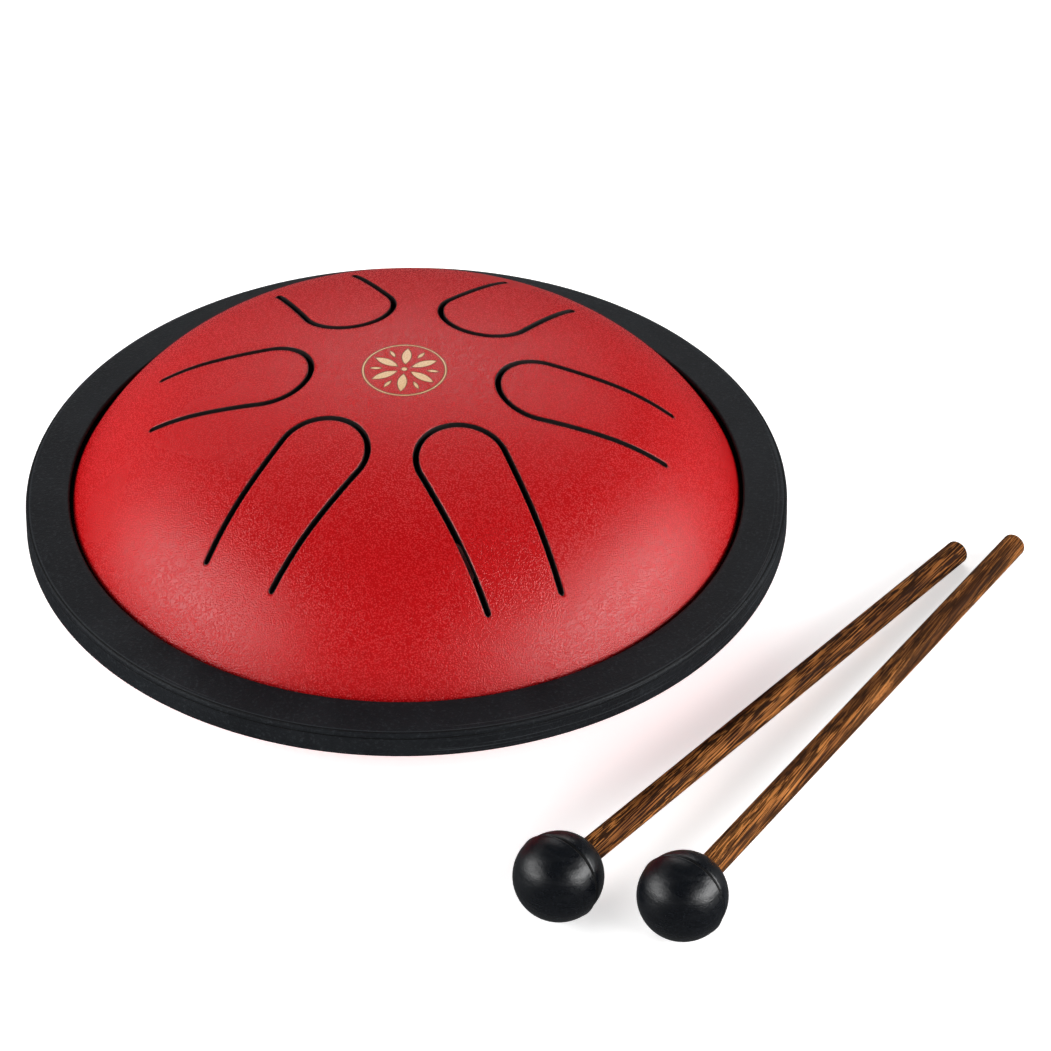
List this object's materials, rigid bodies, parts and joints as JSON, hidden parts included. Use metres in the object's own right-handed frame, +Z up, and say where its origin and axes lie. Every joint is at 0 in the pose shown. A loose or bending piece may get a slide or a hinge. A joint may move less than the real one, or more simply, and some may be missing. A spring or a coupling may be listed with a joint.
{
  "type": "steel tongue drum",
  "caption": "Small domed steel tongue drum with a black rubber edge ring and feet, and its rubber-headed wooden mallets.",
  "frame": {"origin": "on the drum's axis, in the plane the four feet stand on", "axes": "+Z up along the drum's axis; -Y towards the player, where the mallets lie; +X to the player's right"},
  "size_m": [0.2377, 0.226, 0.0666],
  "materials": {
    "red_steel": "satin, fine orange-peel texture",
    "ring_rubber": "matte",
    "foot_rubber": "matte",
    "mallet_rubber": "satin",
    "left_stick_wood": "satin, fine dark streaks",
    "right_stick_wood": "satin, broad streaks"
  },
  "bodies": {
    "drum": {"bottom_shell": "red_steel", "top_shell": "red_steel", "rim_ring": "ring_rubber", "foot_back_right": "foot_rubber", "foot_back_left": "foot_rubber", "foot_front_left": "foot_rubber", "foot_front_right": "foot_rubber"},
    "mallet_left": {"mallet_left_head": "mallet_rubber", "mallet_left_stick": "left_stick_wood"},
    "mallet_right": {"mallet_right_head": "mallet_rubber", "mallet_right_stick": "right_stick_wood"}
  },
  "joints": [
    {"name": "mallet_left_lift", "type": "slide", "parent": "drum", "child": "mallet_left", "axis": [0, 0, 1], "range_m": [0, 0.15]},
    {"name": "mallet_right_lift", "type": "slide", "parent": "drum", "child": "mallet_right", "axis": [0, 0, 1], "range_m": [0, 0.15]}
  ]
}
